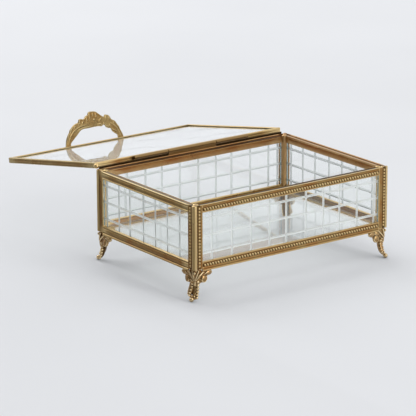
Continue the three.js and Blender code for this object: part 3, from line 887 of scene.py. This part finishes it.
def leg_shells():
    """The leg: a leaf with two rows of bumps on one side, a chain of beads on the other, a web
    set back between them and a ball toe."""
    leaf = [(2.6, 4.6, 17.4), (2.7, 5.9, 13.6), (1.7, 6.3, 10.0), (0.4, 6.2, 7.0), (-0.6, 5.6, 4.8)]
    shells = [strand(leaf, [2.2, 2.35, 2.3, 2.1, 1.5])]
    path = smooth_path(leaf, 8)
    for i, share in enumerate((0.16, 0.34, 0.52, 0.70, 0.88)):
        spot = path[int(share * (len(path) - 1))]
        size = 1.75 - 0.12 * i
        shells.append(ball(spot + (-0.75, 0.55, 0.0), (size, size, size * 0.75), 10))
        shells.append(ball(spot + (-1.5, -1.5, -0.9), (1.1, 1.1, 0.95), 8))
    web = [(4.6, 4.6, 16.5), (4.4, 4.5, 12), (3.6, 4.1, 8), (2.7, 3.5, 5), (1.4, 3.0, 3.0)]
    shells.append(strand(web, [2.1, 1.9, 1.8, 1.7, 1.5]))
    shells.append(strand([(0.6, 4.4, 4.2), (-0.6, 3.0, 2.6)], [1.3, 1.2]))
    shells.append(ball((-1.0, 2.4, TOE_RADIUS), (TOE_RADIUS,) * 3, 14))
    chain = (
        (4.9, 2.3, 15.6, 1.55), (4.9, 2.1, 12.8, 1.45), (4.7, 1.9, 10.1, 1.45),
        (4.3, 1.6, 7.5, 1.4), (3.8, 1.3, 5.0, 1.3), (3.3, 1.0, 2.7, 1.2),
    )
    for x, y, z, size in chain:
        shells.append(ball((x, y, z), (size, size, size * 0.95), 10))
    shells.append(strand([link[:3] for link in chain], [0.9, 0.8, 0.7, 0.65, 0.6, 0.6]))
    shells.append(strand([(3.3, 1.0, 2.6), (1.6, 2.4, 2.2), (-0.4, 2.6, 2.0)], [0.9, 1.0, 1.2]))
    return shells


def in_foot_hollow(points):
    """The web between a leg's leaf and its chain of beads, which is painted dark, partly as dirt and
    partly as painted shade.
    """
    return (points[:, :2].min(axis=1) > 3.1) & (points[:, 2] < 17)


def foot(index):
    corner = CORNERS[index][0]
    shells = leg_shells() + rib_shells()
    for shell in wing_shells():
        shells.extend([shell, swapped(shell)])
    thing = melted(f"cast_foot_{corner}", shells, 0.2, 1)
    finish_piece(thing, corner_frame(index), "box", CAST_BRASS,
                 [f"foot_{corner}"], sharp=None, hollow_scale=3.6, in_channel=in_foot_hollow)


# The handle's silhouette as (length, height) above the lid.
HANDLE_OUTLINE = (
    (-31.2, -3.4), (-28.4, -3.5), (-25.9, -3.4), (-25.4, 1.6), (-21.8, 5.0), (-17.2, 8.8), (-12.4, 12.4),
    (-5.4, 12.7), (0.8, 12.9), (6.2, 12.8), (8.8, 12.3), (10.6, 13.9), (11.9, 14.2), (13.2, 11.3),
    (15.4, 9.8), (18.3, 9.0), (19.6, 6.4), (22.2, 4.0), (24.7, 2.1), (25.2, -3.4), (27.9, -3.5),
    (30.5, -3.4), (30.7, 1.2), (28.0, 7.4), (25.6, 12.2), (23.6, 15.2), (20.2, 17.2), (18.9, 19.4),
    (17.2, 21.4), (13.4, 22.3), (12.2, 20.6), (8.0, 23.4), (4.2, 26.4), (0.2, 27.2), (-3.6, 27.0),
    (-4.8, 24.6), (-6.8, 24.0), (-9.4, 21.6), (-12.0, 22.2), (-14.4, 21.9), (-15.5, 19.4), (-18.8, 18.6),
    (-22.2, 16.6), (-24.2, 13.4), (-26.0, 11.8), (-27.8, 8.6), (-29.6, 6.2), (-30.9, 1.0),
)

# Veins and lobes of the leaf relief, as (points in (length, height), radii).
HANDLE_RELIEF = (
    ([(-28.6, -3.0), (-27.6, 4.0), (-23.6, 10.4), (-17.0, 14.6), (-9.5, 16.2), (-2.0, 17.2)],
     [1.0, 1.1, 1.2, 1.2, 1.1, 0.7]),
    ([(28.2, -3.0), (27.4, 3.0), (24.2, 9.4), (19.6, 13.6), (15.2, 16.8)], [1.0, 1.1, 1.2, 1.1, 0.7]),
    ([(-29.4, 1.5), (-28.6, 6.4), (-26.2, 10.8)], [0.5, 0.8, 0.6]),
    ([(-25.4, 8.2), (-24.6, 12.8), (-21.6, 16.0)], [0.6, 1.0, 0.8]),
    ([(-21.0, 12.4), (-19.8, 16.0), (-16.6, 17.8)], [0.6, 1.0, 0.7]),
    ([(-16.6, 14.8), (-15.0, 18.4), (-13.6, 21.2)], [0.6, 1.1, 0.8]),
    ([(-12.2, 16.0), (-11.0, 19.0), (-9.4, 20.8)], [0.6, 1.0, 0.7]),
    ([(-7.2, 16.6), (-6.4, 20.4), (-6.2, 23.2)], [0.6, 1.0, 0.7]),
    ([(-2.8, 17.2), (-3.0, 22.0), (-3.0, 26.2)], [0.7, 1.1, 0.8]),
    ([(0.2, 21.2), (0.3, 24.0), (0.4, 26.4)], [0.6, 1.1, 0.8]),
    ([(3.4, 18.8), (3.8, 22.6), (3.6, 25.6)], [0.7, 1.1, 0.8]),
    ([(5.2, 16.6), (8.2, 19.2), (10.6, 20.9)], [0.7, 1.2, 0.7]),
    ([(3.4, 14.2), (7.0, 15.0), (9.6, 13.6), (11.6, 15.0), (11.2, 17.4)], [0.7, 1.0, 0.9, 0.8, 0.6]),
    ([(-18.0, 11.8), (-12.6, 13.6), (-6.0, 14.0), (0.6, 14.1)], [0.6, 0.9, 0.9, 0.6]),
    ([(12.4, 13.6), (14.8, 11.6), (17.2, 12.2), (16.4, 14.4), (14.6, 14.0)], [0.8, 1.0, 0.9, 0.7, 0.6]),
    ([(13.4, 17.0), (14.0, 19.6), (14.2, 21.6)], [0.6, 1.0, 0.7]),
    ([(16.4, 15.8), (17.4, 18.4), (17.4, 20.4)], [0.6, 1.0, 0.7]),
    ([(20.2, 12.2), (21.8, 14.4), (22.2, 15.6)], [0.6, 0.9, 0.6]),
    ([(19.4, 8.6), (22.6, 6.6), (25.2, 3.6)], [0.7, 0.8, 0.6]),
    ([(28.0, 6.0), (26.6, 9.6), (24.8, 12.4)], [0.5, 0.7, 0.5]),
)


def handle():
    middle = LID_SETBACK + LID_REACH + GAP + HANDLE_THICKNESS / 2
    half = HANDLE_THICKNESS / 2
    shells = [outline_plate(HANDLE_OUTLINE, middle - 0.75, middle + 0.75, 0.35, steps=3)]
    for path, radii in HANDLE_RELIEF:
        widest = max(radii)
        points = [(x, middle, z) for x, z in path]
        shells.append(strand(points, radii, depth=(half - 0.05) / widest, steps=6, sides=12))
    shells.append(ball((1.4, middle, 19.6), (1.7, half, 1.5), 12))
    shells = [(points + (HANDLE_OFFSET, 0, LID_INNER), faces) for points, faces in shells]
    thing = melted("scroll_handle", shells, 0.25, 2)
    finish_piece(thing, lid_frame(), "lid", OLIVE_AND_SHADED_SIDE_BRASS, ["lid_handle"],
                 sharp=None, hollow_scale=3.2)


# ---- materials ----


def linear(red, green, blue):
    """A colour given as 8-bit screen values, none below 11, as a linear one."""
    shares = [value / 255 for value in (red, green, blue)]
    return tuple(((share + 0.055) / 1.055) ** 2.4 for share in shares) + (1.0,)


def start_material(name):
    material = bpy.data.materials.new(name)
    material.use_nodes = True
    tree = material.node_tree
    return material, tree, tree.nodes["Principled BSDF"]


def add_node(tree, kind, **values):
    """Adds a shader node. Each value names an input, with _ for a space."""
    node = tree.nodes.new("ShaderNode" + kind)
    for name, value in values.items():
        node.inputs[name.replace("_", " ")].default_value = value
    return node


def noise(tree, scale, detail=3.0):
    """Noise over the row frame, in features of 1/scale metres."""
    place = add_node(tree, "TexCoord")
    texture = add_node(tree, "TexNoise", Scale=scale, Detail=detail, Roughness=0.55)
    tree.links.new(place.outputs["Object"], texture.inputs["Vector"])
    return texture.outputs["Fac"]


def ramp(tree, source, stops):
    node = add_node(tree, "ValToRGB")
    elements = node.color_ramp.elements
    while len(elements) < len(stops):
        elements.new(0.5)
    for element, (position, colour) in zip(elements, stops):
        element.position = position
        element.color = colour
    tree.links.new(source, node.inputs["Fac"])
    return node.outputs["Color"]


def span(tree, source, low, high, from_low=0.3, from_high=0.7):
    node = add_node(tree, "MapRange", From_Min=from_low, From_Max=from_high, To_Min=low, To_Max=high)
    tree.links.new(source, node.inputs["Value"])
    return node.outputs["Result"]


def mixed(tree, factor, first, second, blend="MIX"):
    """Mixes two colours. Each input is a value or a socket."""
    node = add_node(tree, "Mix")
    node.data_type = "RGBA"
    node.blend_type = blend
    colours = [socket for socket in node.inputs if socket.type == "RGBA"]
    for socket, value in zip([node.inputs["Factor"]] + colours, (factor, first, second)):
        if isinstance(value, (float, tuple)):
            socket.default_value = value
        else:
            tree.links.new(value, socket)
    return [socket for socket in node.outputs if socket.type == "RGBA"][0]


def bumps(tree, shader, sources):
    """Chains bump nodes from (height socket, strength, distance in metres)."""
    normal = None
    for height, strength, distance in sources:
        node = add_node(tree, "Bump", Strength=strength, Distance=distance)
        tree.links.new(height, node.inputs["Height"])
        if normal is not None:
            tree.links.new(normal, node.inputs["Normal"])
        normal = node.outputs["Normal"]
    tree.links.new(normal, shader.inputs["Normal"])


def aged_brass(name, colours, rough_low, rough_high):
    """Brass in four colours: crests lighter, as wear and as painted highlight, the bright and the warm
    of its clouded tarnish, and dark in the hollows, as dirt and as painted shade."""
    crest, bright, warm, dark = [linear(*colour) for colour in colours]
    material, tree, shader = start_material(name)
    shader.inputs["Metallic"].default_value = 1.0
    clouds = noise(tree, 55, detail=4.0)
    tarnish = ramp(tree, clouds, [(0.36, bright), (0.62, warm)])
    specks = noise(tree, 700, detail=2.0)
    spotted = mixed(tree, span(tree, specks, 0.0, 0.55, 0.6, 0.78), tarnish, dark)
    attribute = add_node(tree, "Attribute")
    attribute.attribute_name = "hollow"
    # Crests take the crest colour: partly rubbed metal, partly a painted highlight.
    rubbed_and_highlit = mixed(tree, span(tree, attribute.outputs["Fac"], 0.85, 0.0, 0.3, 0.45), spotted, crest)
    # Hollows and channels go dark: partly dirt, partly painted shade in the creases.
    dirt_and_shade = span(tree, attribute.outputs["Fac"], 0.0, 0.95, 0.54, 0.86)
    tree.links.new(mixed(tree, dirt_and_shade, rubbed_and_highlit, dark), shader.inputs["Base Color"])
    smears = noise(tree, 160, detail=5.0)
    tree.links.new(span(tree, smears, rough_low, rough_high), shader.inputs["Roughness"])
    dents = noise(tree, 130, detail=2.0)
    grain = noise(tree, 1500, detail=2.0)
    bumps(tree, shader, [(dents, 0.35, 0.0008), (grain, 0.12, 0.0002)])
    return material


def let_light_through(tree, shader):
    """Lets light on its way to other surfaces pass straight, so that panes cast no dark shadow."""
    light = add_node(tree, "LightPath")
    either = add_node(tree, "Math")
    either.operation = "MAXIMUM"
    tree.links.new(light.outputs["Is Shadow Ray"], either.inputs[0])
    tree.links.new(light.outputs["Is Diffuse Ray"], either.inputs[1])
    clear = add_node(tree, "BsdfTransparent", Color=(0.985, 0.99, 0.985, 1))
    choice = add_node(tree, "MixShader")
    tree.links.new(either.outputs["Value"], choice.inputs["Fac"])
    tree.links.new(shader.outputs["BSDF"], choice.inputs[1])
    tree.links.new(clear.outputs["BSDF"], choice.inputs[2])
    tree.links.new(choice.outputs["Shader"], tree.nodes["Material Output"].inputs["Surface"])


def old_glass(name, tint, clearness, rough_low, rough_high, waviness):
    """Old glass with faint waves and smears. clearness is how much light passes."""
    material, tree, shader = start_material(name)
    shader.inputs["Base Color"].default_value = tint
    shader.inputs["Transmission Weight"].default_value = clearness
    shader.inputs["IOR"].default_value = 1.5
    smears = noise(tree, 90, detail=5.0)
    tree.links.new(span(tree, smears, rough_low, rough_high, 0.45, 0.75), shader.inputs["Roughness"])
    waves = noise(tree, 28, detail=2.0)
    bumps(tree, shader, [(waves, waviness, 0.001)])
    let_light_through(tree, shader)
    return material


BRASS = aged_brass(
    "aged_frame_brass", ((214, 188, 136), (162, 134, 86), (156, 110, 61), (50, 38, 22)), 0.26, 0.44)
RUDDY_BRASS = aged_brass(
    "ruddy_frame_brass", ((200, 164, 116), (156, 114, 68), (146, 92, 48), (52, 36, 20)), 0.26, 0.44)
CAST_BRASS = aged_brass(
    "aged_cast_brass", ((240, 216, 170), (172, 140, 94), (146, 106, 62), (38, 28, 16)), 0.2, 0.36)
# Brighter brass for the hinge end ball: rubbed metal, lightened further as a painted highlight where the
# light falls on it.
RUBBED_AND_HIGHLIT_BRASS = aged_brass(
    "rubbed_and_highlit_brass", ((244, 214, 156), (206, 168, 108), (180, 138, 80), (70, 50, 28)), 0.2, 0.32)
# Olive brass: the handle's own tone, and on the left rail and left lid rim, which face away from the
# lamps, a darker copy as painted shade.
OLIVE_AND_SHADED_SIDE_BRASS = aged_brass(
    "handle_and_shaded_side_brass", ((196, 176, 130), (166, 142, 96), (152, 118, 70), (92, 72, 42)), 0.24, 0.4)
DARK_BRASS = aged_brass(
    "aged_hinge_brass", ((150, 122, 80), (110, 84, 52), (98, 64, 36), (36, 26, 16)), 0.28, 0.45)
# Near-black brass for the strips behind the hinge: painted shade for the gap under the lid.
PAINTED_SHADE_BRASS = aged_brass(
    "painted_shade_brass", ((70, 54, 34), (52, 40, 26), (44, 30, 20), (24, 18, 12)), 0.35, 0.5)
CLEAR_GLASS = old_glass("clear_glass", (0.975, 0.99, 0.982, 1), 1.0, 0.0, 0.05, 0.05)
GROUND_GLASS = old_glass("ground_glass", (0.88, 0.92, 0.895, 1), 0.35, 0.28, 0.42, 0.05)
GLASS_EDGE = old_glass("glass_edge", (0.12, 0.25, 0.21, 1), 0.35, 0.2, 0.35, 0.05)


def floor_material():
    material, tree, shader = start_material("pale_floor")
    shade = noise(tree, 3, detail=2.0)
    tree.links.new(ramp(tree, shade, [(0.3, linear(226, 227, 230)), (0.7, linear(230, 231, 234))]),
                   shader.inputs["Base Color"])
    shader.inputs["Roughness"].default_value = 0.85
    return material


# ---- stage, lights and camera ----


def make_stage():
    half = 8.0
    corners = [(-half, -half, 0), (half, -half, 0), (half, half, 0), (-half, half, 0)]
    thing = raw_object("floor", corners, [(0, 1, 2, 3)])
    thing.data.materials.append(floor_material())


def make_flag():
    """A dark card on the floor to the left. Only reflections see it, and it darkens the side that
    faces away from the light."""
    x0, x1 = CENTRE.x - 0.62, CENTRE.x - 0.13
    y0, y1 = CENTRE.y - 0.55, CENTRE.y + 0.45
    z = 0.001
    corners = [(x0, y0, z), (x1, y0, z), (x1, y1, z), (x0, y1, z)]
    card = raw_object("flag", corners, [(0, 1, 2, 3)])
    material, _, shader = start_material("dark_card")
    shader.inputs["Base Color"].default_value = (0.3, 0.29, 0.27, 1)
    shader.inputs["Roughness"].default_value = 0.9
    card.data.materials.append(material)
    card.visible_camera = False
    card.visible_diffuse = False
    card.visible_transmission = False
    card.visible_shadow = False


def area_light(name, place, target, width, height, power, colour):
    lamp = bpy.data.lights.new(name, "AREA")
    lamp.shape = "RECTANGLE"
    lamp.size = width
    lamp.size_y = height
    lamp.energy = power
    lamp.color = colour
    thing = bpy.data.objects.new(name, lamp)
    bpy.context.scene.collection.objects.link(thing)
    thing.location = place
    thing.rotation_mode = "QUATERNION"
    thing.rotation_quaternion = (Vector(target) - Vector(place)).to_track_quat("-Z", "Y")


def make_lights():
    middle = (CENTRE.x, CENTRE.y, 0.05)
    area_light("key", (1.2, -0.8, 1.8), middle, 0.8, 0.8, 1.6, (1.0, 0.99, 0.97))
    area_light("front", (0.38, -1.7, 0.6), middle, 0.3, 1.1, 5.4, (1.0, 0.99, 0.97))
    behind = (CENTRE.x + 0.6, CENTRE.y + 1.4, 0)
    area_light("rear", (0.2, 2.8, 2.2), behind, 2.4, 2.4, 36.0, (0.99, 0.99, 1.0))


def make_world():
    """A pale sky all round that is dimmer on the left."""
    world = bpy.data.worlds.new("studio")
    bpy.context.scene.world = world
    world.use_nodes = True
    tree = world.node_tree
    place = add_node(tree, "TexCoord")
    split = add_node(tree, "SeparateXYZ")
    tree.links.new(place.outputs["Generated"], split.inputs["Vector"])
    sky = ramp(tree, split.outputs["Z"], [
        (0.0, (0.78, 0.79, 0.80, 1)), (0.4, (0.92, 0.94, 0.96, 1)), (1.0, (0.98, 0.99, 1.0, 1)),
    ])
    from_left = add_node(tree, "VectorMath")
    from_left.operation = "DOT_PRODUCT"
    from_left.inputs[1].default_value = (-0.92, -0.35, 0.0)
    tree.links.new(place.outputs["Generated"], from_left.inputs[0])
    dim_left = ramp(tree, from_left.outputs["Value"], [
        (0.2, (1, 1, 1, 1)), (0.72, (0.2, 0.19, 0.17, 1)),
    ])
    background = tree.nodes["Background"]
    colour = mixed(tree, 1.0, sky, dim_left, "MULTIPLY")
    tree.links.new(colour, background.inputs["Color"])
    background.inputs["Strength"].default_value = 1.0


CAMERA_LENS = 216.0
CAMERA_AZIMUTH = -36.23
CAMERA_ELEVATION = 16.44
CAMERA_ROLL = -0.22
CAMERA_DISTANCE = 2.08254
CAMERA_TARGET = (-0.02336, 0.0162, 0.0445)   # from the middle of the box, at table height


def make_camera():
    data = bpy.data.cameras.new("camera")
    data.lens = CAMERA_LENS
    data.sensor_width = 36.0
    data.clip_end = 50.0
    camera = bpy.data.objects.new("camera", data)
    bpy.context.scene.collection.objects.link(camera)
    azimuth, elevation = math.radians(CAMERA_AZIMUTH), math.radians(CAMERA_ELEVATION)
    back = Vector((
        math.sin(azimuth) * math.cos(elevation),
        -math.cos(azimuth) * math.cos(elevation),
        math.sin(elevation),
    ))
    target = Vector((CENTRE.x, CENTRE.y, 0)) + Vector(CAMERA_TARGET)
    camera.location = target + back * CAMERA_DISTANCE
    turn = (-back).to_track_quat("-Z", "Y").to_matrix().to_4x4()
    roll = Matrix.Rotation(math.radians(CAMERA_ROLL), 4, "Z")
    camera.rotation_mode = "QUATERNION"
    camera.rotation_quaternion = (turn @ roll).to_quaternion()
    bpy.context.scene.camera = camera


# ---- assembly ----

for corner_index in range(4):
    post(corner_index)
    top_rail(corner_index)
    bottom_rail(corner_index)
    cut_pane(corner_index)
floor_pane()
lid_pane()
lid_rims()
hinge()
hinge_strips()
end_ball()
handle()
for corner_index in range(4):
    foot(corner_index)

# The pin hides in the knuckles, so its CAD mesh is kept.
frame["nodes"]["hinge_pin"].data.materials.clear()
frame["nodes"]["hinge_pin"].data.materials.append(DARK_BRASS)

make_stage()
make_flag()
make_lights()
make_world()
make_camera()
scene = bpy.context.scene
scene.view_settings.view_transform = "Standard"
scene.cycles.caustics_refractive = False
scene.cycles.caustics_reflective = False
